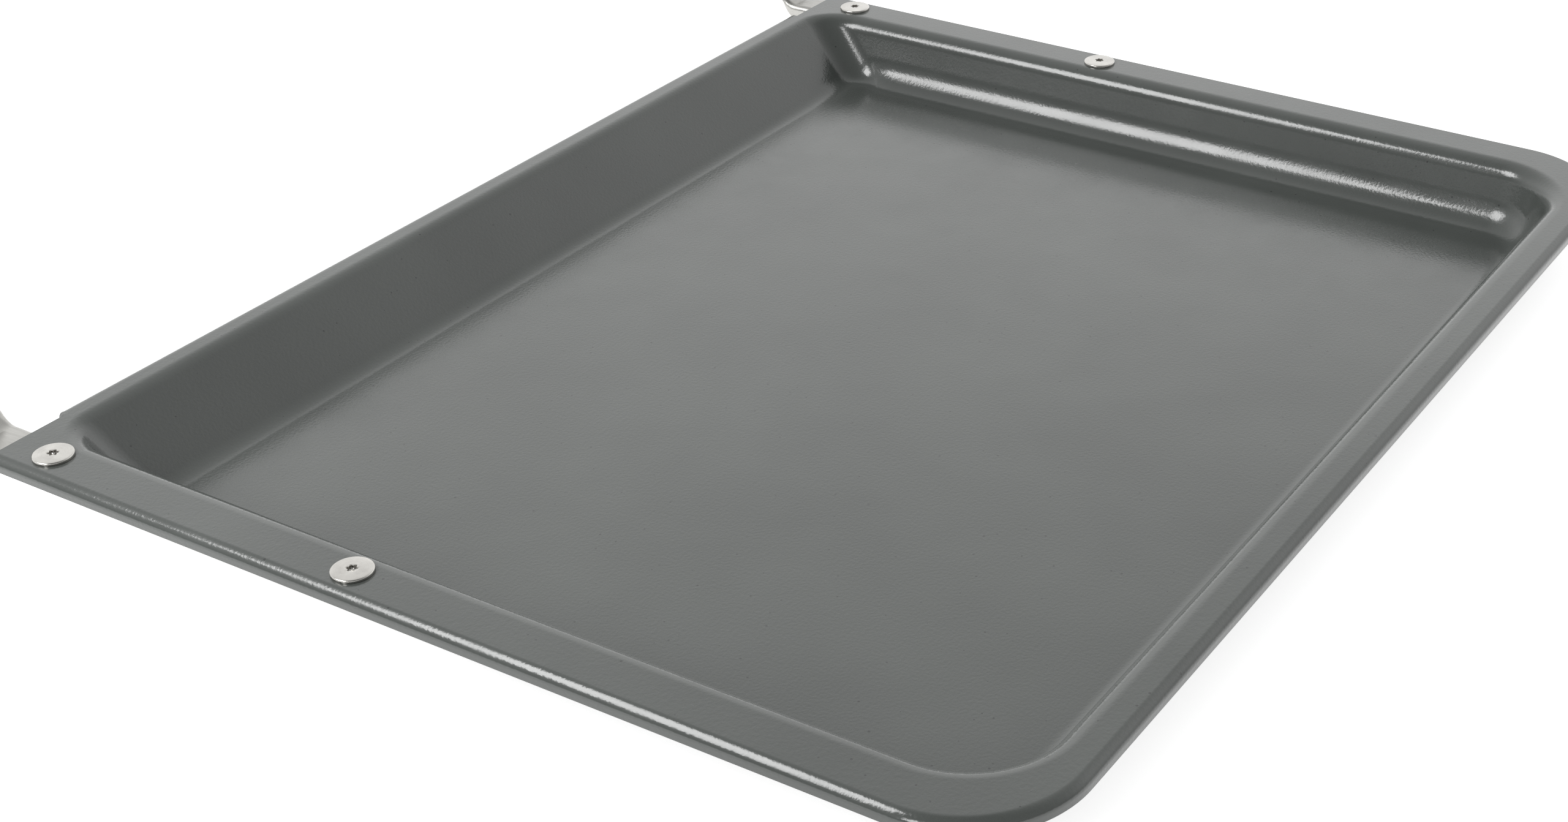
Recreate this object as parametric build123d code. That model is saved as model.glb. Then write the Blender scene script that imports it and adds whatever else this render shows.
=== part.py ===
from build123d import *
import os
from math import cos, radians, sin, tan

# Enamelled oven tray with a shallow well and two steel hook brackets under its side flanges.
# X runs across the tray, Y from its front to its rear, Z up. The origin is the centre of the
# underside, where the tray rests. All lengths are in millimetres and all angles in degrees.

# Tray, measured over its outer lip faces and on its top face
tray_width = 465.0
tray_depth = 375.0
well_depth = 24.0
sheet = 1.0
side_flange = 21.7
front_flange = 15.0
rear_flange = 11.7
wall_lean = 15.0
rear_wall_lean = 43.0

# Bends and corners of the pressing
outer_corner = 38.0
mouth_bend = 7.6
floor_bend = 13.0
front_floor_corner = 22.2
rear_corner = 13.6
lip_bend = 2.5
rear_lip_bend = 4.5
lip_land = 0.3

# Notches that leave the rear lip open where the brackets pass out
notch_width = 31.0
notch_land = 0.8

# Screws, nuts and their places, from the outer side face and from the rear lip
screw_inset = 10.6
rear_screw_setback = 22.6
screw_pitch = 125.0
shank_diameter = 5.0
hole_clearance = 0.4
thread_clearance = 0.05
screw_tail = 1.0
head_diameter = 12.9
head_height = 1.25
nut_width = 8.0
nut_height = 4.0

# Hook brackets, bent from plate
plate = 2.0
bracket_width = 16.6
bracket_lip_gap = 0.3
bracket_end_margin = 20.4
bracket_end_corner = 4.0
leg_height = 8.2
leg_bend = 2.5
leg_taper = 30.0
leg_nose = 12.2
leg_nose_setback = 1.5
hook_start = 4.5
hook_bend = 6.0
hook_rise = 56.0
tongue_rise = 7.5
tongue_corner = 4.5

overrun = 1.0

half_width = tray_width / 2
half_depth = tray_depth / 2
flange_top = sheet + well_depth
flange_under = flange_top - sheet
lip_foot = flange_top - rear_lip_bend - lip_land
notch_depth = rear_lip_bend + notch_land
screw_rows = [half_depth - rear_screw_setback, half_depth - rear_screw_setback - screw_pitch]
bracket_reach = rear_screw_setback + screw_pitch + bracket_end_margin
hole_radius = (shank_diameter + hole_clearance) / 2


def blank_plan(inset, slack):
    """Outline of the pressed blank, moved in by inset, its rear notches smaller by slack."""
    side = half_width - inset
    notch_side = half_width - notch_width + slack
    notch_end = half_depth - notch_depth + slack
    right = [(side, -half_depth + inset), (side, notch_end), (notch_side, notch_end),
             (notch_side, half_depth - inset)]
    left = [(-x, y) for x, y in reversed(right)]
    plan = make_face(Polyline(*right, *left, close=True))
    return fillet(plan.vertices().group_by(Axis.Y)[0], outer_corner - inset)


def blank(inset, slack, foot, top):
    """Block with the blank's outline, its upper edges round outside and bevelled on the hidden inside."""
    block = extrude(Pos(0, 0, foot) * blank_plan(inset, slack), top - foot)
    rim = block.faces().sort_by(Axis.Z)[-1].edges()
    side_edges = rim.filter_by(Axis.Y).sort_by(lambda edge: abs(edge.center().X))[-2:]
    front_edges = rim.group_by(Axis.Y)[0] + rim.filter_by(GeomType.CIRCLE)
    if inset > 0:
        block = chamfer(side_edges + front_edges, (lip_bend - inset) * 2 * (1 - cos(radians(45))))
    else:
        block = fillet(side_edges + front_edges, lip_bend)
    rear_point = Vector(0, half_depth - inset, top)
    rear_edge = block.edges().sort_by_distance(rear_point)[0]
    return fillet(rear_edge, rear_lip_bend - inset)


def well(skin):
    """Solid that fills the well, grown by skin on every side, with its corners and floor edge rounded."""
    shift = skin * tan(radians(90 - wall_lean) / 2)
    rear_shift = skin * tan(radians(90 - rear_wall_lean) / 2)
    slope = well_depth * tan(radians(wall_lean))
    floor_level = sheet - skin
    side = half_width - side_flange - slope + shift
    front = -half_depth + front_flange + slope - shift
    rear = half_depth - rear_flange + rear_shift
    plan = make_face(Polyline((-side, front), (side, front), (side, rear), (-side, rear), close=True))
    plan = fillet(plan.vertices().group_by(Axis.Y)[0], front_floor_corner + shift)
    body = extrude(Pos(0, 0, floor_level) * plan, well_depth, taper=-wall_lean)

    lean = tan(radians(rear_wall_lean))
    low = (rear - (well_depth + overrun) * lean, floor_level - overrun)
    high = (rear + overrun * lean, floor_level + well_depth + overrun)
    behind = half_depth + well_depth
    wedge = make_face(Polyline(low, high, (behind, high[1]), (behind, low[1]), close=True))
    body -= extrude(Plane.YZ * wedge, tray_width, both=True)
    middle = Vector(side + slope / 2, rear - well_depth * lean / 2, floor_level + well_depth / 2)
    for point in (middle, Vector(-middle.X, middle.Y, middle.Z)):
        body = fillet(body.edges().sort_by_distance(point)[0], rear_corner + skin)
    return fillet(body.faces().sort_by(Axis.Z)[0].edges(), floor_bend + skin)


def under_face(skin, slack, foot):
    """All the space below the tray's top face (skin 0) or below its lower face (skin sheet)."""
    top = flange_top - skin
    body = blank(skin, slack, foot, top)
    if foot > 0:
        body += extrude(blank_plan(2 * sheet, 0), foot + overrun)
    body -= well(skin)
    mouth = body.faces().sort_by(Axis.Z)[-1].inner_wires()[0].edges()
    return fillet(mouth, mouth_bend - skin)


def make_pan():
    """Pressed sheet between the two faces, with the four screw holes in its side flanges."""
    pan = under_face(0, 0, lip_foot) - under_face(sheet, notch_land / 2, -overrun)
    for x in (screw_inset - half_width, half_width - screw_inset):
        for y in screw_rows:
            pan -= Pos(x, y, flange_top) * Cylinder(hole_radius, 2 * sheet + 2 * overrun)
    return pan


def bracket_track(depth):
    """Side view of the bracket's plate at a depth under its top face, from front end to tongue."""
    level = flange_under - depth
    bend = hook_bend + depth
    flat = Line((half_depth - bracket_reach, level), (half_depth + hook_start, level))
    curl = JernArc(flat @ 1, flat % 1, bend, hook_rise)
    tip_height = flange_top + tongue_rise - depth * cos(radians(hook_rise))
    run = (tip_height - (curl @ 1).Y) / sin(radians(hook_rise))
    tongue = PolarLine(curl @ 1, run, hook_rise)
    return [flat, curl, tongue]


def bracket_side():
    """Side view of the whole bracket: the bent plate and the leg below it with its round nose."""
    upper = bracket_track(0)
    lower = bracket_track(plate)
    ends = [Line(upper[-1] @ 1, lower[-1] @ 1), Line(upper[0] @ 0, lower[0] @ 0)]
    strip = make_face(upper + lower + ends)

    front_end = half_depth - bracket_reach
    leg_foot = flange_under - leg_height
    nose_start = half_depth - leg_nose_setback
    foot = Line((front_end + leg_taper, leg_foot), (nose_start, leg_foot))
    nose = JernArc(foot @ 1, foot % 1, leg_nose, 90)
    shape = Polyline(nose @ 1, (front_end, (nose @ 1).Y), (front_end, flange_under - plate), foot @ 0)
    leg = make_face([foot, nose, shape])

    tip = upper[-1] @ 1
    behind = tip.X + leg_nose
    below = leg_foot - overrun
    outside = Polyline(tip, (behind, tip.Y), (behind, below), (front_end, below), upper[0] @ 0)
    return strip + (leg & make_face(upper + [outside]))


def make_bracket():
    """Left hook bracket: an angle bent along its inner edge, then curled up into the tongue."""
    outer_x = lip_bend + bracket_lip_gap - half_width
    inner_x = outer_x + bracket_width
    front_end = half_depth - bracket_reach

    section = make_face(Polyline(
        (outer_x, flange_under), (inner_x, flange_under), (inner_x, flange_under - leg_height),
        (inner_x - plate, flange_under - leg_height), (inner_x - plate, flange_under - plate),
        (outer_x, flange_under - plate), close=True))
    bend_corner = section.vertices().sort_by_distance((inner_x, flange_under))[0]
    section = fillet(bend_corner, leg_bend)
    start = Plane(origin=(0, front_end, 0), x_dir=(1, 0, 0), z_dir=(0, -1, 0))
    path = Plane.YZ * Wire(bracket_track(0))
    angle = sweep(start * section, path=path)

    bracket = angle & extrude(Plane.YZ.offset(outer_x) * bracket_side(), bracket_width)
    tongue = bracket_track(0)[-1]
    tip = Vector(0, (tongue @ 1).X, (tongue @ 1).Y)
    face_out = (0, -sin(radians(hook_rise)), cos(radians(hook_rise)))
    tongue_plane = Plane(origin=tip, x_dir=(1, 0, 0), z_dir=face_out)
    middle = outer_x + bracket_width / 2
    outline = Pos(middle, -bracket_reach) * Rectangle(bracket_width, 2 * bracket_reach)
    outline = fillet(outline.vertices().group_by(Axis.Y)[-1], tongue_corner)
    bracket &= extrude(tongue_plane * outline, bracket_reach, both=True)

    end_corner = Vector(outer_x, front_end, flange_under)
    end_edge = bracket.edges().filter_by(Axis.Z).sort_by_distance(end_corner)[0]
    bracket = fillet(end_edge, bracket_end_corner)
    drill = Cylinder(hole_radius, 2 * plate + overrun)
    for y in screw_rows:
        bracket -= Pos(screw_inset - half_width, y, flange_under) * drill
    return bracket


def make_screw():
    """Low disc-head screw with a plain shank, its head's underside at zero height."""
    grip = sheet + plate + nut_height + screw_tail
    disc = Cylinder(head_diameter / 2, head_height, align=(Align.CENTER, Align.CENTER, Align.MIN))
    shank = Cylinder(shank_diameter / 2, grip, align=(Align.CENTER, Align.CENTER, Align.MAX))
    return disc + shank


def make_nut():
    """Hexagon nut, its upper face at zero height."""
    hexagon = extrude(RegularPolygon(nut_width / 2, 6, major_radius=False), -nut_height)
    bore = Cylinder(shank_diameter / 2 + thread_clearance, 3 * nut_height)
    return hexagon - bore


parts = {"pan": make_pan()}
left_bracket = make_bracket()
parts["hook_bracket_left"] = left_bracket
parts["hook_bracket_right"] = mirror(left_bracket, about=Plane.YZ)
screw = make_screw()
nut = make_nut()
for side, x in (("left", screw_inset - half_width), ("right", half_width - screw_inset)):
    for row, y in zip(("rear", "front"), screw_rows):
        parts[f"screw_{side}_{row}"] = Pos(x, y, flange_top) * screw
        parts[f"nut_{side}_{row}"] = Pos(x, y, flange_under - plate) * nut

os.makedirs("parts", exist_ok=True)
for name, shape in parts.items():
    export_step(shape, f"parts/{name}.step")
    print(f"{name}: {shape.volume:.1f} cubic mm")
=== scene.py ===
# %% [markdown]
# # An enamelled oven tray
# The tray is one pressing of thin steel under a skin of grey glass enamel, with two steel hooks screwed
# under its side flanges. Its look is nearly all reflection: long bright lines where the sheet bends, a
# calm grey floor, dark walls. So the pan is built as an exact smooth surface, and the light is planned
# around its bends.
#
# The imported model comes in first, as the frame that every new piece must fit.

# %% Load the frame
import math

import bmesh
import bpy
import numpy as np
from mathutils import Matrix, Vector


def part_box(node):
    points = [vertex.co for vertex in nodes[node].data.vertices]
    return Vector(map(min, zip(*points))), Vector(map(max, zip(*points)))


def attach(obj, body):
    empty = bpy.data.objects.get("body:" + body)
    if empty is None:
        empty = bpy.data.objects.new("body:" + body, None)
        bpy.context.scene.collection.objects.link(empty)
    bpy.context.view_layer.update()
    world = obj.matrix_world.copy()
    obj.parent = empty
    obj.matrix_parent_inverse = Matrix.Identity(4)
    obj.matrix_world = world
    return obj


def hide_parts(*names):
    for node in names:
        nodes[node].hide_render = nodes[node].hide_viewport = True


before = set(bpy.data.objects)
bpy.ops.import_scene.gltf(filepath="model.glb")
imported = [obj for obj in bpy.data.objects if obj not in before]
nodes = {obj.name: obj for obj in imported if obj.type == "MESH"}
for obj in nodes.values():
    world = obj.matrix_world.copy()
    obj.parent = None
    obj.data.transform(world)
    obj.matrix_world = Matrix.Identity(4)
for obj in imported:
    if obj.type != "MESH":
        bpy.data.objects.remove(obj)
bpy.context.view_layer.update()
print("nodes:", sorted(nodes))

# %% [markdown]
# ## Sizes
# The sizes of the pressing are few: overall width and depth, the widths of the flanges, how far each
# wall leans, and the radius of each bend. They are kept in millimetres, as a press shop would, and turned
# into metres once, when a mesh is made.

# %% Sizes of the tray in millimetres
MM = 0.001
pan_high = np.array(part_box("pan")[1]) / MM
HALF_WIDTH = pan_high[0]
HALF_DEPTH = pan_high[1]
FLANGE_TOP = pan_high[2]
SHEET = 1.0
WELL_DEPTH = FLANGE_TOP - SHEET
SIDE_FLANGE, FRONT_FLANGE, REAR_FLANGE = 21.7, 15.0, 11.7
WALL_LEAN, REAR_WALL_LEAN = math.radians(15.0), math.radians(43.0)
MOUTH_BEND = 7.6
OUTER_CORNER = 38.0
FRONT_FLOOR_CORNER, REAR_CORNER = 22.2, 13.6
LIP_REACH, REAR_LIP_BEND, LIP_HEIGHT = 3.2, 4.5, 4.8
NOTCH_WIDTH, NOTCH_LAND = 31.0, 0.8
print(f"pan {2 * HALF_WIDTH:.1f} x {2 * HALF_DEPTH:.1f} x {FLANGE_TOP:.1f} mm")

# %% [markdown]
# ## The camera
# The straight rims of the tray give away where the photograph was taken from: their vanishing points fix
# the lens and the tilt, and the real width of the tray fixes the distance. The frame is a crop of a
# larger picture, which a sideways shift of the lens repeats without bending any line.

# %% Camera
PHOTO_WIDTH, PHOTO_HEIGHT = 2560, 1342
FOCAL_PIXELS = 3900.5
AXIS_X_PIXEL, AXIS_Y_PIXEL = 1685.7, 671.0
SENSOR = 36.0
CAMERA_PLACE = Vector((-614.17, -413.72, 412.85)) * MM
HEADING, TILT, ROLL = math.radians(30.177), math.radians(30.489), math.radians(0.126)


def looking_matrix(place, heading, tilt, roll):
    """Camera matrix: turn by the heading from +X, look down by the tilt, then roll about the view."""
    ahead = Vector((math.cos(heading), math.sin(heading), 0))
    right = Vector((math.sin(heading), -math.cos(heading), 0))
    view = math.cos(tilt) * ahead - math.sin(tilt) * Vector((0, 0, 1))
    up = math.cos(tilt) * Vector((0, 0, 1)) + math.sin(tilt) * ahead
    rolled_right = math.cos(roll) * right + math.sin(roll) * up
    rolled_up = math.cos(roll) * up - math.sin(roll) * right
    turn = Matrix((rolled_right, rolled_up, -view)).transposed()
    return Matrix.Translation(place) @ turn.to_4x4()


lens = bpy.data.cameras.new("photo_camera")
lens.sensor_width = SENSOR
lens.lens = FOCAL_PIXELS * SENSOR / PHOTO_WIDTH
lens.shift_x = (PHOTO_WIDTH / 2 - AXIS_X_PIXEL) / PHOTO_WIDTH
lens.shift_y = (AXIS_Y_PIXEL - PHOTO_HEIGHT / 2) / PHOTO_WIDTH
lens.clip_start = 0.01
camera = bpy.data.objects.new("photo_camera", lens)
camera.matrix_world = looking_matrix(CAMERA_PLACE, HEADING, TILT, ROLL)
bpy.context.scene.collection.objects.link(camera)
bpy.context.scene.camera = camera
print(f"lens {lens.lens:.2f} mm, shift {lens.shift_x:.4f}, {lens.shift_y:.4f}")

# %% [markdown]
# ## Node helpers
# Each finish below is a small tree of shader nodes. Three effects are shader groups, made once and placed
# with values of their own: a slow mottle in tone and a fine relief that bends the reflections, which every
# finish uses, and tiny specks. Specks are cells of random size, of which only a share is kept.

# %% Helpers for node trees
def set_inputs(tree, node, inputs):
    """Sets the named inputs of a node to plain values, or links them where the value is a socket."""
    for name, value in inputs.items():
        socket = node.inputs[name.replace("_", " ")]
        if isinstance(value, bpy.types.NodeSocket):
            tree.links.new(value, socket)
        else:
            socket.default_value = value
    return node


def add_node(tree, kind, **inputs):
    """A new node of that kind with its named inputs set."""
    return set_inputs(tree, tree.nodes.new(kind), inputs)


def place_group(tree, group, **inputs):
    """The group as a node in a tree, with its named inputs set."""
    node = tree.nodes.new("ShaderNodeGroup")
    node.node_tree = group
    return set_inputs(tree, node, inputs)


def math_node(tree, operation, first, second):
    """The result of a two-number operation on a socket and on a socket or a plain number."""
    node = tree.nodes.new("ShaderNodeMath")
    node.operation = operation
    tree.links.new(first, node.inputs[0])
    if isinstance(second, bpy.types.NodeSocket):
        tree.links.new(second, node.inputs[1])
    else:
        node.inputs[1].default_value = second
    return node.outputs["Value"]


def new_group(name, inputs, outputs):
    """An empty shader group with float or vector sockets, and its two end nodes."""
    group = bpy.data.node_groups.new(name, "ShaderNodeTree")
    for label, kind in inputs:
        group.interface.new_socket(name=label, in_out="INPUT", socket_type=kind)
    for label, kind in outputs:
        group.interface.new_socket(name=label, in_out="OUTPUT", socket_type=kind)
    return group, group.nodes.new("NodeGroupInput"), group.nodes.new("NodeGroupOutput")


# %% Three shared effects
mottle, ends, out = new_group(
    "soft_mottle",
    [("Place", "NodeSocketVector"), ("Scale", "NodeSocketFloat"), ("Low", "NodeSocketFloat"),
     ("High", "NodeSocketFloat")],
    [("Value", "NodeSocketFloat")])
cloud = add_node(mottle, "ShaderNodeTexNoise", Vector=ends.outputs["Place"], Scale=ends.outputs["Scale"],
                 Detail=3.0, Roughness=0.55)
spread = add_node(mottle, "ShaderNodeMapRange", Value=cloud.outputs["Fac"], From_Min=0.3, From_Max=0.7,
                  To_Min=ends.outputs["Low"], To_Max=ends.outputs["High"])
mottle.links.new(spread.outputs["Result"], out.inputs["Value"])

relief, ends, out = new_group(
    "fine_relief",
    [("Place", "NodeSocketVector"), ("Coarse", "NodeSocketFloat"), ("Fine", "NodeSocketFloat"),
     ("Share", "NodeSocketFloat")],
    [("Height", "NodeSocketFloat")])
swell = add_node(relief, "ShaderNodeTexNoise", Vector=ends.outputs["Place"], Scale=ends.outputs["Coarse"],
                 Detail=1.0, Roughness=0.4)
peel = add_node(relief, "ShaderNodeTexNoise", Vector=ends.outputs["Place"], Scale=ends.outputs["Fine"],
                Detail=1.0, Roughness=0.5)
blend = relief.nodes.new("ShaderNodeMix")
relief.links.new(ends.outputs["Share"], blend.inputs["Factor"])
relief.links.new(swell.outputs["Fac"], blend.inputs["A"])
relief.links.new(peel.outputs["Fac"], blend.inputs["B"])
relief.links.new(blend.outputs["Result"], out.inputs["Height"])

specks, ends, out = new_group(
    "tiny_specks",
    [("Place", "NodeSocketVector"), ("Scale", "NodeSocketFloat"), ("Radius", "NodeSocketFloat")],
    [("Mask", "NodeSocketFloat")])
cells = add_node(specks, "ShaderNodeTexVoronoi", Vector=ends.outputs["Place"], Scale=ends.outputs["Scale"])
chosen = add_node(specks, "ShaderNodeSeparateColor", Color=cells.outputs["Color"])
SPECK_SHARE = 0.45
size = math_node(specks, "MULTIPLY", chosen.outputs["Red"], ends.outputs["Radius"])
dot = math_node(specks, "LESS_THAN", cells.outputs["Distance"], size)
rare = math_node(specks, "GREATER_THAN", chosen.outputs["Green"], 1 - SPECK_SHARE)
specks.links.new(math_node(specks, "MULTIPLY", dot, rare), out.inputs["Mask"])
print("groups:", [group.name for group in bpy.data.node_groups])

# %% [markdown]
# ## Grey enamel
# Vitreous enamel is glass: a smooth clear reflection over a solid grey. It is never quite flat, because
# it is sprayed as a slurry and melted, so a faint orange peel bends each highlight, and pinholes and
# specks of frit show close up. The grey itself drifts a little in tone. All of it follows Object
# coordinates, which on this piece are metres on the tray itself.

# %% Enamel
COLOUR_FIRST, COLOUR_SECOND, COLOUR_RESULT = 6, 7, 2


def colour_mix(tree, factor, first, second):
    """A colour between the first and the second, by a factor socket.

    The mix node has sockets of the same name for each kind of data, so the colour ones go by their place.
    """
    node = tree.nodes.new("ShaderNodeMix")
    node.data_type = "RGBA"
    tree.links.new(factor, node.inputs["Factor"])
    for socket, value in ((node.inputs[COLOUR_FIRST], first), (node.inputs[COLOUR_SECOND], second)):
        if isinstance(value, bpy.types.NodeSocket):
            tree.links.new(value, socket)
        else:
            socket.default_value = (*value, 1.0)
    return node.outputs[COLOUR_RESULT]


def new_material(name):
    """A material with an emptied tree, its Principled shader and its object coordinates."""
    material = bpy.data.materials.new(name)
    material.use_nodes = True
    tree = material.node_tree
    tree.nodes.clear()
    shader = tree.nodes.new("ShaderNodeBsdfPrincipled")
    output = tree.nodes.new("ShaderNodeOutputMaterial")
    tree.links.new(shader.outputs["BSDF"], output.inputs["Surface"])
    place = tree.nodes.new("ShaderNodeTexCoord")
    return material, tree, shader, place


ENAMEL_DARK = (0.0495, 0.0545, 0.051)
ENAMEL_LIGHT = (0.0615, 0.0675, 0.063)
ENAMEL_PIT = (0.028, 0.030, 0.029)

enamel, tree, shader, place = new_material("grey_enamel")
spot = place.outputs["Object"]
tone = place_group(tree, mottle, Place=spot, Scale=14.0, Low=0.0, High=1.0)
pits = place_group(tree, specks, Place=spot, Scale=300.0, Radius=0.13)
body = colour_mix(tree, tone.outputs["Value"], ENAMEL_DARK, ENAMEL_LIGHT)
body = colour_mix(tree, pits.outputs["Mask"], body, ENAMEL_PIT)
tree.links.new(body, shader.inputs["Base Color"])
gloss = place_group(tree, mottle, Place=spot, Scale=45.0, Low=0.15, High=0.21)
tree.links.new(gloss.outputs["Value"], shader.inputs["Roughness"])
skin = place_group(tree, relief, Place=spot, Coarse=22.0, Fine=900.0, Share=0.30)
bump = add_node(tree, "ShaderNodeBump", Height=skin.outputs["Height"], Strength=0.35, Distance=0.0004)
tree.links.new(bump.outputs["Normal"], shader.inputs["Normal"])
shader.inputs["IOR"].default_value = 1.52

# %% [markdown]
# ## Bracket steel and screw steel
# The hooks are cold-rolled strip with a thin satin plating: a metal, fairly rough, with a faint grain
# along the strip that stretches the highlight. The screws are turned, so their marks are rings round
# their own axis. A ring pattern has to be centred on each screw, so it reads the screw's UV map, which
# holds the place about the axis in millimetres: its length is the radius, and noise along it makes rings.
# The nuts are pressed and show no rings, so they keep to Object coordinates.

# %% Steels
BRACKET_DARK, BRACKET_LIGHT = (0.325, 0.32, 0.305), (0.40, 0.395, 0.375)
SCREW_DARK, SCREW_LIGHT = (0.39, 0.38, 0.36), (0.47, 0.46, 0.435)
NUT_DARK, NUT_LIGHT = (0.36, 0.36, 0.35), (0.46, 0.46, 0.45)

bracket_steel, tree, shader, place = new_material("bracket_steel")
along = add_node(tree, "ShaderNodeMapping", Vector=place.outputs["Object"], Scale=(1.0, 0.06, 1.0))
tone = place_group(tree, mottle, Place=place.outputs["Object"], Scale=60.0, Low=0.0, High=1.0)
grain = place_group(tree, mottle, Place=along.outputs["Vector"], Scale=1800.0, Low=0.26, High=0.42)
strokes = place_group(tree, relief, Place=along.outputs["Vector"], Coarse=500.0, Fine=2600.0, Share=0.6)
tree.links.new(colour_mix(tree, tone.outputs["Value"], BRACKET_DARK, BRACKET_LIGHT),
               shader.inputs["Base Color"])
tree.links.new(grain.outputs["Value"], shader.inputs["Roughness"])
bump = add_node(tree, "ShaderNodeBump", Height=strokes.outputs["Height"], Strength=0.25, Distance=0.00005)
tree.links.new(bump.outputs["Normal"], shader.inputs["Normal"])
shader.inputs["Metallic"].default_value = 1.0


def small_steel(name, dark, light, rough_low, rough_high, ringed):
    """Small hardware: mottled tone, and marks in rings about the UV centre or scattered in the object."""
    material, tree, shader, place = new_material(name)
    tone = place_group(tree, mottle, Place=place.outputs["Object"], Scale=220.0, Low=0.0, High=1.0)
    marks = add_node(tree, "ShaderNodeMapping", Vector=place.outputs["Object"], Scale=(900.0, 900.0, 900.0))
    where = marks.outputs["Vector"]
    if ringed:
        radius = tree.nodes.new("ShaderNodeVectorMath")
        radius.operation = "LENGTH"
        tree.links.new(place.outputs["UV"], radius.inputs[0])
        where = add_node(tree, "ShaderNodeCombineXYZ", X=radius.outputs["Value"]).outputs["Vector"]
    wear = place_group(tree, mottle, Place=where, Scale=2.5, Low=rough_low, High=rough_high)
    cut = place_group(tree, relief, Place=where, Coarse=1.5, Fine=6.0, Share=0.6)
    tree.links.new(colour_mix(tree, tone.outputs["Value"], dark, light), shader.inputs["Base Color"])
    tree.links.new(wear.outputs["Value"], shader.inputs["Roughness"])
    bump = add_node(tree, "ShaderNodeBump", Height=cut.outputs["Height"], Strength=0.3, Distance=0.00003)
    tree.links.new(bump.outputs["Normal"], shader.inputs["Normal"])
    shader.inputs["Metallic"].default_value = 1.0
    return material


screw_steel = small_steel("screw_steel", SCREW_DARK, SCREW_LIGHT, 0.16, 0.28, True)
nut_steel = small_steel("nut_steel", NUT_DARK, NUT_LIGHT, 0.28, 0.42, False)
print("materials:", [m.name for m in (enamel, bracket_steel, screw_steel, nut_steel)])

# %% [markdown]
# ## The pan as one surface
# A pressed pan is one profile carried round a path: lip, flange, bend, wall, bend, floor. Only the path
# changes, from straight sides to round corners, and with it the lean of the wall. So the surface is a
# function of two parameters. One runs round the tray, column by column. The other runs from the flange's
# edge, through the two bends, to the middle of the floor.
#
# Each column starts on the flange's edge, falls down the wall and ends at the middle of the floor. The side
# and front walls lean by the same angle, so they meet in a cone at the front corners. The rear wall leans
# far more, so the rear corners are round fillets along the slanted line where two walls cross, as a ball
# would roll down that line. The columns there drift sideways with the line as they fall.

# %% Loops round the tray
CORNER_STEPS = 28
SIDE_STEPS = 36


def straight(start, end, steps):
    """Points from the start up to, but without, the end, evenly spaced."""
    share = np.arange(steps)[:, None] / steps
    return (1 - share) * np.array(start) + share * np.array(end)


def arc(centre, radius, from_degrees, steps):
    """A quarter turn anticlockwise about the centre, without its last point."""
    angle = np.radians(from_degrees + 90 * np.arange(steps) / steps)
    return np.array(centre) + radius * np.stack([np.cos(angle), np.sin(angle)], axis=1)


def well_columns():
    """One row of seven numbers for each column of the well, as four arrays.

    They are its place on the mouth line (two), its outward normal (two), how far the wall moves inward
    for each millimetre it falls, and how far the column drifts sideways in the same fall (two). The columns
    of a straight side are blends of those at its two ends, so they end in the slanted planes where the
    corner fillets begin. The left half is the right half mirrored and walked backwards.
    """
    side, rear = HALF_WIDTH - SIDE_FLANGE, HALF_DEPTH - REAR_FLANGE
    steep, slack = math.tan(WALL_LEAN), math.tan(REAR_WALL_LEAN)
    slant = np.array([steep, slack])

    def quarter(from_degrees):
        """Outward normals through a quarter turn, with both ends."""
        angle = np.radians(from_degrees + 90 * np.arange(CORNER_STEPS + 1) / CORNER_STEPS)
        return np.stack([np.cos(angle), np.sin(angle)], axis=1)

    normal = quarter(0)
    lean = (normal @ slant)[:, None]
    centre = np.array([side, rear]) - REAR_CORNER * np.sqrt(1 + slant ** 2)
    place = centre + REAR_CORNER * (normal + lean * slant) / np.sqrt(1 + lean ** 2)
    fillet = np.concatenate([place, normal, lean, lean * normal - slant], axis=1)

    normal = quarter(270)
    radius = FRONT_FLOOR_CORNER + WELL_DEPTH * steep
    place = np.array([side - radius, FRONT_FLANGE - HALF_DEPTH + radius]) + radius * normal
    none = np.zeros((len(normal), 1))
    cone = np.concatenate([place, normal, steep + none, none, none], axis=1)

    mirror = np.array([-1, 1, -1, 1, 1, -1, 1])
    left_fillet, left_cone = mirror * fillet, mirror * cone
    columns = np.concatenate([
        straight(cone[-1], fillet[0], SIDE_STEPS), fillet[:-1],
        straight(fillet[-1], left_fillet[-1], SIDE_STEPS), left_fillet[:0:-1],
        straight(left_fillet[0], left_cone[-1], SIDE_STEPS), left_cone[:0:-1],
        straight(left_cone[0], cone[0], SIDE_STEPS), cone[:-1]])
    return columns[:, 0:2], columns[:, 2:4], columns[:, 4:5], columns[:, 5:7]


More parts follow.
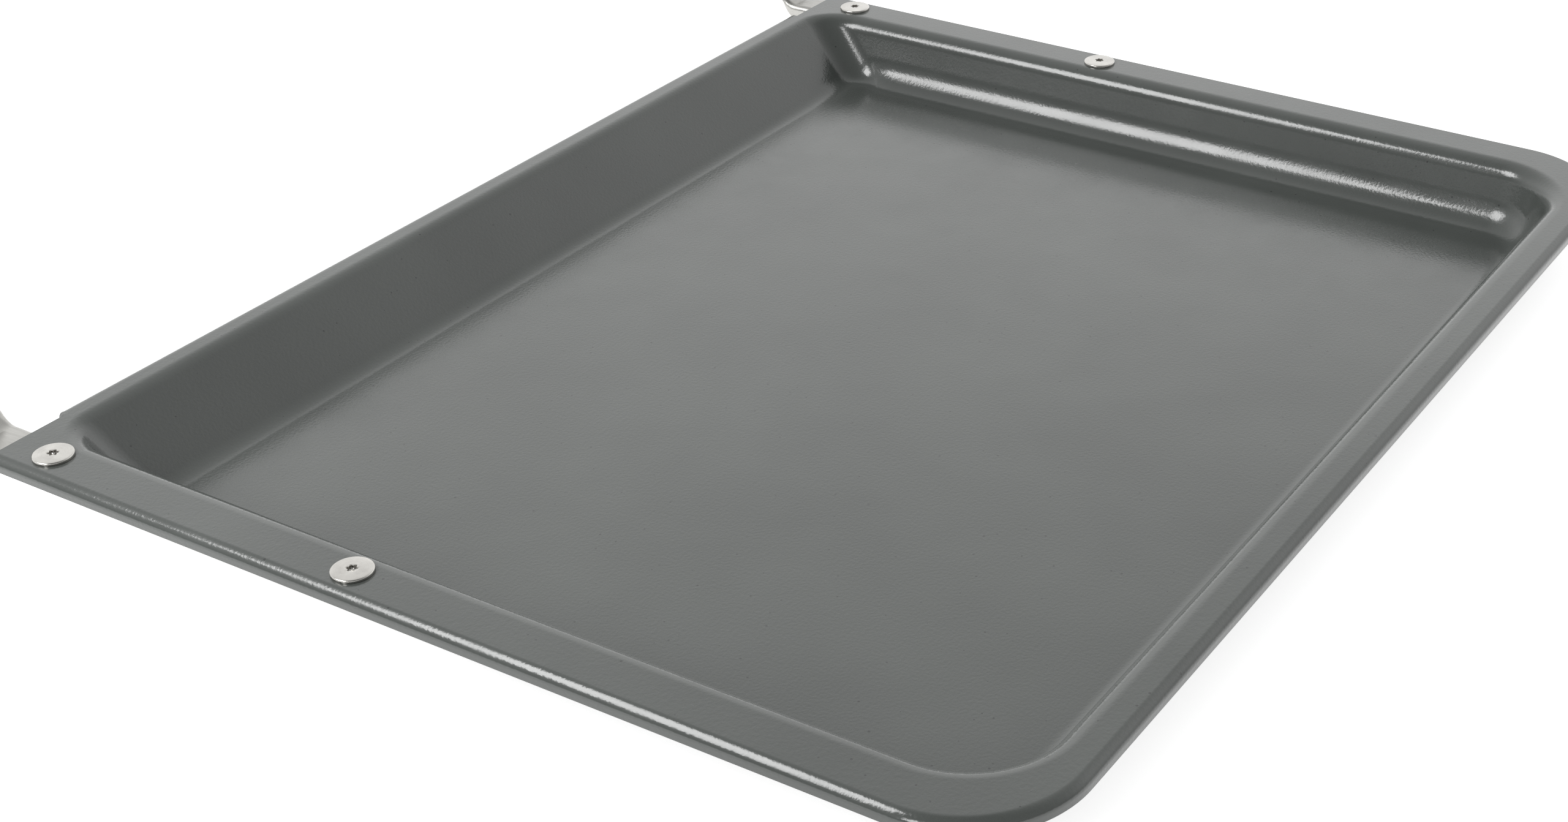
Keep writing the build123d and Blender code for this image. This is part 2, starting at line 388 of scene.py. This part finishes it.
def flange_edge_loop():
    """The flange's flat edge: along the lips' bends, and along the cut notches at the rear."""
    side, front = HALF_WIDTH - LIP_REACH, -HALF_DEPTH + LIP_REACH
    rear = HALF_DEPTH - REAR_LIP_BEND
    notch_x, notch_y = HALF_WIDTH - NOTCH_WIDTH, HALF_DEPTH - REAR_LIP_BEND - NOTCH_LAND
    radius = OUTER_CORNER - LIP_REACH
    right_notch = np.concatenate([
        straight((side, notch_y), (notch_x, notch_y), CORNER_STEPS - 1), [(notch_x, notch_y)]])
    left_notch = np.concatenate([[(-notch_x, rear)],
        straight((-notch_x, notch_y), (-side, notch_y), CORNER_STEPS - 1)])
    pieces = [
        straight((side, front + radius), (side, notch_y), SIDE_STEPS),
        right_notch,
        straight((notch_x, rear), (-notch_x, rear), SIDE_STEPS),
        left_notch,
        straight((-side, notch_y), (-side, front + radius), SIDE_STEPS),
        arc((-side + radius, front + radius), radius, 180, CORNER_STEPS),
        straight((-side + radius, front), (side - radius, front), SIDE_STEPS),
        arc((side - radius, front + radius), radius, 270, CORNER_STEPS)]
    return np.concatenate(pieces)


edge_loop = flange_edge_loop()
mouth_loop, wall_normals, wall_falls, wall_drifts = well_columns()
print("columns:", len(edge_loop), len(mouth_loop), "wall leans from",
      round(math.degrees(math.atan(wall_falls.min())), 1), "to",
      round(math.degrees(math.atan(wall_falls.max())), 1), "degrees")

# %% [markdown]
# ## From the flange to the floor
# The mouth is a plain arc: turning by an angle B with radius R, it starts R times tan(B / 2) before the
# corner. The bend into the floor isn't an arc. Drawn steel leaves the wall in a slow curve and turns
# tightly only near the floor, which is why the bright line down there is broad, soft above and sharp
# below. So its radius falls with the angle that is left to turn, and the curve is the running sum of small
# steps. Extra rows hug each side of a bend, so that flat parts shade flat right up to it.

# %% Rows of the pan
BEND_STEPS = 14
FLOOR_STEPS = 20
WALL_SHARES = (0.06, 0.35, 0.65, 0.94)
FLOOR_SHARES = (0.004, 0.05, 0.15, 0.3, 0.5, 0.75, 1.0)
SLOW_RADIUS, TIGHT_RADIUS = 16.9, 10.8
TIGHT_TILT, TILT_SPREAD = math.radians(42.8), math.radians(4.0)
GUARD = 0.35


def floor_bend(turn):
    """Offsets along and above the floor, from its flat end up to the wall, for each column's turn.

    The tilt runs from zero at the floor to the full turn at the wall. The radius is the tight one below
    TIGHT_TILT and the slow one above, with a smooth step between. Each step is the radius times its part
    of the angle, along the curve's own direction.
    """
    share = (np.arange(FLOOR_STEPS) + 0.5) / FLOOR_STEPS
    tilt = turn * share[None, :]
    blend = np.clip((tilt - TIGHT_TILT) / (2 * TILT_SPREAD) + 0.5, 0, 1)
    radius = TIGHT_RADIUS + (SLOW_RADIUS - TIGHT_RADIUS) * blend * blend * (3 - 2 * blend)
    step = radius * turn / FLOOR_STEPS
    along = np.concatenate([0 * turn, np.cumsum(step * np.cos(tilt), axis=1)], axis=1)
    above = np.concatenate([0 * turn, np.cumsum(step * np.sin(tilt), axis=1)], axis=1)
    return along, above


def pan_rows(edge, mouth, outward, fall, drift):
    """Rows of points: flange edge, mouth bend (arc), wall (line), floor bend, floor to the middle."""
    turn = np.pi / 2 - np.arctan(fall)

    def on_column(inward, depth):
        """The point of each column that lies so far inward of the mouth line and so deep."""
        return mouth - inward * outward + depth * drift, FLANGE_TOP - depth

    begin = -MOUTH_BEND * np.tan(turn / 2)
    along, above = floor_bend(turn)
    floor_end = WELL_DEPTH * fall - above[:, -1:] * fall + along[:, -1:]
    start = on_column(begin, 0 * turn)[0]
    to_start = start - edge
    width = np.linalg.norm(to_start, axis=1, keepdims=True)
    rows = []
    for share in (0 * width, GUARD / width, 0 * width + 0.5, 1 - GUARD / width):
        rows.append((edge + share * to_start, FLANGE_TOP + 0 * turn))
    for step in range(BEND_STEPS + 1):
        angle = turn * step / BEND_STEPS
        rows.append(on_column(begin + MOUTH_BEND * np.sin(angle), MOUTH_BEND * (1 - np.cos(angle))))
    top_inward, top_depth = begin + MOUTH_BEND * np.sin(turn), MOUTH_BEND * (1 - np.cos(turn))
    low_inward, low_depth = floor_end - along[:, -1:], WELL_DEPTH - above[:, -1:]
    for share in WALL_SHARES:
        rows.append(on_column((1 - share) * top_inward + share * low_inward,
                              (1 - share) * top_depth + share * low_depth))
    for step in range(FLOOR_STEPS, -1, -1):
        rows.append(on_column(floor_end - along[:, step:step + 1], WELL_DEPTH - above[:, step:step + 1]))
    end = rows[-1][0]
    middle = end.mean(axis=0)
    for share in FLOOR_SHARES:
        rows.append(((1 - share) * end + share * middle, SHEET + 0 * turn))
    return np.stack([np.concatenate([flat, level], axis=1) for flat, level in rows])


plate_rows = pan_rows(edge_loop, mouth_loop, wall_normals, wall_falls, wall_drifts)
print("plate grid:", plate_rows.shape, "levels from", round(plate_rows[..., 2].min(), 2),
      "to", round(plate_rows[..., 2].max(), 2))

# %% [markdown]
# ## The lips
# Outside the flange the sheet turns down and ends in a short straight edge. The front lip runs round both
# front corners; the rear lip has a larger roll, and stops at the notches. Each lip is a quarter turn
# carried along its stretch of the flange's edge, on the outward normal of the path. The front lip turns
# quickly at first, slowly round the middle of its turn, and quickly again, as a rim does whose edge was
# pressed over a chamfered die. The slow part is what carries the long bright line along the rim.

# %% Rows of the lips
LIP_STEPS = 16
LIP_SLOW, LIP_PLACE, LIP_SPREAD = 2.2, 0.44, 0.13
LIP_GUARD = 0.1


def quarter_turn(reach, slow=0.0, place=0.5, spread=1.0):
    """Offsets outward and down of a quarter turn, scaled to the reach. With slow at zero it is an arc.

    The step length is one plus a bell curve over the share of the turn, of height slow, with its middle
    at place and its width set by spread. Each step goes along the curve's own direction: the cosine of
    the angle outward, the sine down.
    """
    share = (np.arange(LIP_STEPS) + 0.5) / LIP_STEPS
    length = 1 + slow * np.exp(-((share - place) / spread) ** 2)
    angle = share * np.pi / 2
    outward = np.concatenate([[0], np.cumsum(length * np.cos(angle))])
    down = np.concatenate([[0], np.cumsum(length * np.sin(angle))])
    return outward * reach / outward[-1], down * reach / outward[-1]


def outward_normals(path):
    """Unit normals to the right of an anticlockwise path, from central differences."""
    ahead = np.gradient(path, axis=0)
    normal = np.stack([ahead[:, 1], -ahead[:, 0]], axis=1)
    return normal / np.linalg.norm(normal, axis=1, keepdims=True)


def lip_rows(path, turned, normals):
    """Rows from the flange's edge outward and down: the quarter turn, then a straight drop."""
    outward, down = turned
    outward = np.concatenate([outward, outward[-1:], outward[-1:]])
    down = np.concatenate([down, down[-1:] + (LIP_HEIGHT - down[-1:]) * LIP_GUARD, [LIP_HEIGHT]])
    flat = path[None] + outward[:, None, None] * normals[None]
    level = np.broadcast_to((FLANGE_TOP - down)[:, None, None], (len(down), len(path), 1))
    return np.concatenate([flat, level], axis=2)


QUARTER = CORNER_STEPS + SIDE_STEPS
rear_columns = np.arange(QUARTER, QUARTER + SIDE_STEPS + 1)
front_columns = np.arange(2 * QUARTER, 4 * QUARTER + SIDE_STEPS + 1) % len(edge_loop)
rear_path, front_path = edge_loop[rear_columns], edge_loop[front_columns]
rear_turn = quarter_turn(REAR_LIP_BEND)
front_turn = quarter_turn(LIP_REACH, LIP_SLOW, LIP_PLACE, LIP_SPREAD)
rear_lip = lip_rows(rear_path, rear_turn, np.tile([[0.0, 1.0]], (len(rear_path), 1)))
front_lip = lip_rows(front_path, front_turn, outward_normals(front_path))
print(f"front lip falls {front_turn[1][-1]:.2f} mm in its turn, of {LIP_HEIGHT:.1f} mm")
print("lips:", rear_lip.shape, front_lip.shape)

# %% [markdown]
# ## One mesh
# The three grids meet on the same points, so they are joined by merging doubles. The middle row of the
# floor is a single point, which closes the same way. A grid that is walked in the other direction faces
# the other way, so each one says whether to flip.

# %% Mesh helpers
def grid_faces(rows, columns, offset, wrap, flip):
    """Quads between neighbouring rows and columns of a grid, as index arrays."""
    row = np.arange(rows - 1)[:, None]
    column = np.arange(columns if wrap else columns - 1)[None, :]
    following = (column + 1) % columns
    corners = [row * columns + column, row * columns + following,
               (row + 1) * columns + following, (row + 1) * columns + column]
    if flip:
        corners = corners[::-1]
    return offset + np.stack([c.ravel() for c in np.broadcast_arrays(*corners)], axis=1)


def mesh_object(name, points, faces):
    """A new object at the origin, from points in millimetres and faces as index rows."""
    mesh = bpy.data.meshes.new(name)
    mesh.from_pydata((np.asarray(points) * MM).tolist(), [], np.asarray(faces).tolist())
    mesh.validate()
    piece = bpy.data.objects.new(name, mesh)
    bpy.context.scene.collection.objects.link(piece)
    return piece


MERGE_DISTANCE = 0.01


def merge_doubles(piece):
    """Joins points that coincide and drops faces that have shrunk to nothing."""
    work = bmesh.new()
    work.from_mesh(piece.data)
    bmesh.ops.remove_doubles(work, verts=work.verts, dist=MERGE_DISTANCE * MM)
    bmesh.ops.dissolve_degenerate(work, dist=MERGE_DISTANCE * MM, edges=work.edges)
    work.to_mesh(piece.data)
    work.free()


def settle(piece, sharp_degrees):
    """Applies the modifiers and marks edges sharper than the angle, so that the rest shades smooth."""
    view = bpy.context.evaluated_depsgraph_get()
    finished = bpy.data.meshes.new_from_object(piece.evaluated_get(view))
    piece.modifiers.clear()
    piece.data = finished
    finished.shade_smooth()
    finished.set_sharp_from_angle(angle=math.radians(sharp_degrees))


# %% Pan mesh
plate_faces = grid_faces(plate_rows.shape[0], plate_rows.shape[1], 0, True, False)
rear_start = plate_rows.shape[0] * plate_rows.shape[1]
rear_faces = grid_faces(rear_lip.shape[0], rear_lip.shape[1], rear_start, False, True)
front_start = rear_start + rear_lip.shape[0] * rear_lip.shape[1]
front_faces = grid_faces(front_lip.shape[0], front_lip.shape[1], front_start, False, True)
points = np.concatenate([plate_rows.reshape(-1, 3), rear_lip.reshape(-1, 3), front_lip.reshape(-1, 3)])
pan = mesh_object("pan_enamelled", points, np.concatenate([plate_faces, rear_faces, front_faces]))
merge_doubles(pan)
up = sum(face.normal.z * face.area for face in pan.data.polygons)
print("pan faces:", len(pan.data.polygons), "upward area in square metres:", round(up, 4))

# %% [markdown]
# ## Thickness and screw holes
# A surface has no thickness. Solidify gives the sheet its millimetre, inward from the enamelled top face,
# and closes the cut edges. The holes for the screws are drilled with four round cutters, which are
# removed once the result is applied.

# %% Finish the pan
SCREW_INSET, REAR_SCREW_SETBACK, SCREW_PITCH = 10.6, 22.6, 125.0
HOLE_RADIUS, HOLE_SPOKES, CUT_MARGIN = 2.7, 48, 3.0
SHARP_PAN = 40
screw_places = [(side * (HALF_WIDTH - SCREW_INSET), HALF_DEPTH - REAR_SCREW_SETBACK - row * SCREW_PITCH)
                for side in (-1, 1) for row in (0, 1)]


def round_cutter(x, y, radius, low, high):
    """A closed cylinder about an upright axis, its ends fans about their middles."""
    turn = np.linspace(0, 2 * np.pi, HOLE_SPOKES, endpoint=False)
    ring = np.stack([x + radius * np.cos(turn), y + radius * np.sin(turn)], axis=1)
    rows = []
    for spread, level in ((0.0, low), (1.0, low), (1.0, high), (0.0, high)):
        flat = (x, y) + spread * (ring - (x, y))
        rows.append(np.concatenate([flat, np.full((len(ring), 1), level)], axis=1))
    grid = np.stack(rows)
    cutter = mesh_object("hole_cutter", grid.reshape(-1, 3), grid_faces(4, len(ring), 0, True, False))
    merge_doubles(cutter)
    return cutter


thickness = pan.modifiers.new("thickness", "SOLIDIFY")
thickness.thickness = SHEET * MM
thickness.offset = -1.0
thickness.use_even_offset = True
thickness.use_quality_normals = True
settle(pan, SHARP_PAN)
cutters = [round_cutter(x, y, HOLE_RADIUS, FLANGE_TOP - CUT_MARGIN, FLANGE_TOP + CUT_MARGIN)
           for x, y in screw_places]
for number, cutter in enumerate(cutters):
    drill = pan.modifiers.new(f"drill_{number}", "BOOLEAN")
    drill.operation = "DIFFERENCE"
    drill.solver = "EXACT"
    drill.object = cutter
settle(pan, SHARP_PAN)
for cutter in cutters:
    bpy.data.objects.remove(cutter)
pan.data.materials.clear()
pan.data.materials.append(enamel)
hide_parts("pan")
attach(pan, "root")
print("pan triangles:", sum(len(face.vertices) - 2 for face in pan.data.polygons))

# %% [markdown]
# ## The screws
# A screw head could be a cylinder with a bevel, but close up it shows more: a low dome, a round rim and a
# six-lobed socket for the driver. All of it is one lathe grid, rows from the socket's floor over the dome
# and down the shank. Only the socket's rows aren't round: there the radius swings six times per turn, as
# a base radius plus a cosine of six times the angle.

# %% Screw meshes
HEAD_RADIUS, HEAD_HEIGHT, DOME, RIM = 6.45, 1.25, 0.18, 0.45
SHANK_RADIUS, SHANK_LENGTH, SHANK_BEVEL = 2.5, 8.0, 0.4
SOCKET_RADIUS, SOCKET_LOBE, SOCKET_DEPTH, SOCKET_EDGE = 1.52, 0.27, 1.0, 0.14
SCREW_COLUMNS = 96
RIM_ROWS, DOME_ROWS, DOME_START = 7, 8, 0.45
UNDERCUT, NECK, SOCKET_CONE = 0.08, 0.1, 0.25
FLOOR_SHRINK, EDGE_PART, LOBES = 0.9, 0.3, 6
SHARP_SCREW = 35


def screw_profile():
    """Radius, height and lobe size of each row, from the socket's floor to the shank's end."""
    turn = np.linspace(0, np.pi / 2, RIM_ROWS)
    dome_radius = np.linspace(SOCKET_RADIUS + SOCKET_LOBE + DOME_START, HEAD_RADIUS - RIM, DOME_ROWS)
    dome_height = HEAD_HEIGHT - DOME * (dome_radius / HEAD_RADIUS) ** 2
    rim_top = dome_height[-1]
    edge_top = HEAD_HEIGHT - DOME * (SOCKET_RADIUS / HEAD_RADIUS) ** 2
    floor_level = HEAD_HEIGHT - SOCKET_DEPTH
    part = EDGE_PART * SOCKET_EDGE
    rows = [(0.0, floor_level - SOCKET_CONE, 0.0),
            (FLOOR_SHRINK * SOCKET_RADIUS, floor_level, FLOOR_SHRINK * SOCKET_LOBE),
            (SOCKET_RADIUS, floor_level + NECK, SOCKET_LOBE),
            (SOCKET_RADIUS, edge_top - SOCKET_EDGE, SOCKET_LOBE),
            (SOCKET_RADIUS + part, edge_top - part, SOCKET_LOBE),
            (SOCKET_RADIUS + SOCKET_EDGE, edge_top, SOCKET_LOBE)]
    rows += [(r, z, 0.0) for r, z in zip(dome_radius, dome_height)]
    rows += [(HEAD_RADIUS - RIM + RIM * math.sin(angle), rim_top - RIM + RIM * math.cos(angle), 0.0)
             for angle in turn[1:]]
    rows += [(HEAD_RADIUS, UNDERCUT, 0.0), (HEAD_RADIUS - UNDERCUT, 0.0, 0.0), (SHANK_RADIUS, 0.0, 0.0),
             (SHANK_RADIUS, -NECK, 0.0), (SHANK_RADIUS, SHANK_BEVEL - SHANK_LENGTH, 0.0),
             (SHANK_RADIUS - SHANK_BEVEL, -SHANK_LENGTH, 0.0), (0.0, -SHANK_LENGTH, 0.0)]
    return np.array(rows)


def make_screw(name, x, y, first_angle):
    """One screw as a lathe grid about its axis, with the place about the axis as its UV map."""
    profile = screw_profile()
    angle = first_angle + np.linspace(0, 2 * np.pi, SCREW_COLUMNS, endpoint=False)[None, :]
    radius = profile[:, 0:1] + profile[:, 2:3] * np.cos(LOBES * (angle - first_angle))
    level = np.broadcast_to(FLANGE_TOP + profile[:, 1:2], radius.shape)
    grid = np.stack([x + radius * np.cos(angle), y + radius * np.sin(angle), level], axis=2)
    faces = grid_faces(len(profile), SCREW_COLUMNS, 0, True, True)
    piece = mesh_object(name + "_turned", grid.reshape(-1, 3), faces)
    merge_doubles(piece)
    settle(piece, SHARP_SCREW)
    mesh = piece.data
    places = np.empty(3 * len(mesh.vertices))
    mesh.vertices.foreach_get("co", places)
    corner = np.empty(len(mesh.loops), dtype=np.int32)
    mesh.loops.foreach_get("vertex_index", corner)
    about = places.reshape(-1, 3)[corner, :2] / MM - (x, y)
    mesh.uv_layers.new(name="about_axis").data.foreach_set("uv", about.ravel())
    mesh.materials.append(screw_steel)
    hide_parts(name)
    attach(piece, "root")
    return piece


screw_names = [f"screw_{side}_{row}" for side in ("left", "right") for row in ("rear", "front")]
screw_turns = (0.35, 1.0, 0.1, 0.7)
screws = [make_screw(name, x, y, turned)
          for name, (x, y), turned in zip(screw_names, screw_places, screw_turns)]
print("screws:", len(screws), "triangles each:",
      sum(len(face.vertices) - 2 for face in screws[0].data.polygons))

# %% [markdown]
# ## Materials on the frame's own pieces
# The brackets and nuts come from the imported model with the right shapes, so they keep their meshes and
# take new finishes.

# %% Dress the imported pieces
for name, node in nodes.items():
    if name == "pan" or "screw" in name:
        continue
    finish = bracket_steel if "bracket" in name else nut_steel
    for number in range(len(node.material_slots)):
        node.material_slots[number].material = finish
print("dressed:", [name for name in nodes if "bracket" in name or "nut" in name])

# %% [markdown]
# ## Floor, light and world
# The tray lies on a white table in a bright room. Its enamel mirrors the room at a low angle, so the far
# side of the room is a broad wall of soft light, while the ceiling and the side behind the camera are
# darker. One soft box, high at the far left, draws the bright lines along the bends. A narrow strip light
# beside it is there for one thing, the bright slanted line in the rear right corner: the corner's fillet
# turns its mirror direction away from the box, so that line needs a light of its own.

# %% Table
def disc(name, radius, level, rings, spokes):
    """A flat disc of rings and spokes about the origin."""
    turn = np.linspace(0, 2 * np.pi, spokes, endpoint=False)
    reach = np.linspace(0, radius, rings)[:, None]
    grid = np.stack([reach * np.cos(turn), reach * np.sin(turn), np.full((rings, spokes), level)], axis=2)
    piece = mesh_object(name, grid.reshape(-1, 3), grid_faces(rings, spokes, 0, True, False))
    merge_doubles(piece)
    return piece


TABLE_RADIUS, TABLE_LEVEL, TABLE_RINGS, TABLE_SPOKES = 6000.0, -0.15, 3, 64
CAMERA_LIFT, MIRROR_LIFT = 0.72, 1.0
table = disc("white_table", TABLE_RADIUS, TABLE_LEVEL, TABLE_RINGS, TABLE_SPOKES)
white, tree, shader, place = new_material("white_table")
shader.inputs["Roughness"].default_value = 0.9
shader.inputs["Specular IOR Level"].default_value = 0.0
shader.inputs["Base Color"].default_value = (0.86, 0.86, 0.86, 1.0)
shader.inputs["Emission Color"].default_value = (1.0, 1.0, 1.0, 1.0)
path = tree.nodes.new("ShaderNodeLightPath")
mirrored = math_node(tree, "MAXIMUM", path.outputs["Is Glossy Ray"], path.outputs["Is Transmission Ray"])
lift = math_node(tree, "MAXIMUM", math_node(tree, "MULTIPLY", path.outputs["Is Camera Ray"], CAMERA_LIFT),
                 math_node(tree, "MULTIPLY", mirrored, MIRROR_LIFT))
tree.links.new(lift, shader.inputs["Emission Strength"])
table.data.materials.append(white)


# %% Lamps
def soft_box(name, place_metres, width, height, radiance):
    """A flat lamp at a place, facing the tray; its power is radiance times pi times its area."""
    lamp = bpy.data.lights.new(name, "AREA")
    lamp.shape = "RECTANGLE"
    lamp.size, lamp.size_y = width, height
    lamp.energy = radiance * math.pi * width * height
    box = bpy.data.objects.new(name, lamp)
    box.location = Vector(place_metres)
    box.rotation_euler = Vector(place_metres).to_track_quat("Z", "Y").to_euler()
    bpy.context.scene.collection.objects.link(box)
    return box


KEY_RADIANCE = 13.0
soft_box("far_left_box", (-1.124, 0.979, 1.52), 0.80, 0.86, KEY_RADIANCE)
soft_box("left_strip", (-1.881, 0.132, 1.133), 0.36, 0.60, KEY_RADIANCE)

# %% [markdown]
# ## The room
# The world stands for the rest of the room. Its strength is worked out from the direction of the ray:
# bright at the horizon and again at the height that the floor of the tray mirrors, dimmer between them
# and towards the ceiling. The side behind the camera is dimmer still, apart from a low band, which is what
# the steep right wall of the well mirrors. Camera rays skip all that and see plain white.

# %% World
ROOM_SIDE = (0.84, 0.54, 0.0)
ROOM_GAIN = 1.07
DARK_SIDE, LOW_BAND = 0.30, 0.85
BRIGHTEST = 2.0
HEIGHT_STOPS = [(0.0, 1.75), (0.05, 1.7), (0.12, 1.2), (0.24, 1.2), (0.36, 1.55), (0.46, 1.55), (0.60, 1.3),
                (0.72, 1.0), (0.90, 0.85), (1.0, 0.45)]
world = bpy.data.worlds.new("studio")
world.use_nodes = True
bpy.context.scene.world = world
tree = world.node_tree
tree.nodes.clear()
ray = tree.nodes.new("ShaderNodeTexCoord")
parts = add_node(tree, "ShaderNodeSeparateXYZ", Vector=ray.outputs["Generated"])
height_ramp = add_node(tree, "ShaderNodeValToRGB", Fac=parts.outputs["Z"])
ramp = height_ramp.color_ramp
for number, (height, strength) in enumerate(HEIGHT_STOPS):
    stop = ramp.elements[number] if number < 2 else ramp.elements.new(height)
    stop.position = height
    stop.color = (*[strength / BRIGHTEST] * 3, 1.0)
toward = tree.nodes.new("ShaderNodeVectorMath")
toward.operation = "DOT_PRODUCT"
toward.inputs[1].default_value = ROOM_SIDE
tree.links.new(ray.outputs["Generated"], toward.inputs[0])
side = add_node(tree, "ShaderNodeMapRange", Value=toward.outputs["Value"], From_Min=-0.45, From_Max=0.40,
                To_Min=DARK_SIDE, To_Max=1.0)
band = add_node(tree, "ShaderNodeMapRange", Value=parts.outputs["Z"], From_Min=0.05, From_Max=0.22,
                To_Min=LOW_BAND, To_Max=0.0)
side.interpolation_type = band.interpolation_type = "SMOOTHSTEP"
lit_side = math_node(tree, "MAXIMUM", side.outputs["Result"], band.outputs["Result"])
strength = math_node(tree, "MULTIPLY", height_ramp.outputs["Color"], lit_side)
strength = math_node(tree, "MULTIPLY", strength, ROOM_GAIN * BRIGHTEST)
room = add_node(tree, "ShaderNodeBackground", Color=(1, 1, 1, 1), Strength=strength)
plain = add_node(tree, "ShaderNodeBackground", Color=(1, 1, 1, 1), Strength=1.0)
path = tree.nodes.new("ShaderNodeLightPath")
either = tree.nodes.new("ShaderNodeMixShader")
output = tree.nodes.new("ShaderNodeOutputWorld")
tree.links.new(path.outputs["Is Camera Ray"], either.inputs[0])
tree.links.new(room.outputs[0], either.inputs[1])
tree.links.new(plain.outputs[0], either.inputs[2])
tree.links.new(either.outputs[0], output.inputs["Surface"])
bpy.context.scene.view_settings.view_transform = "Standard"
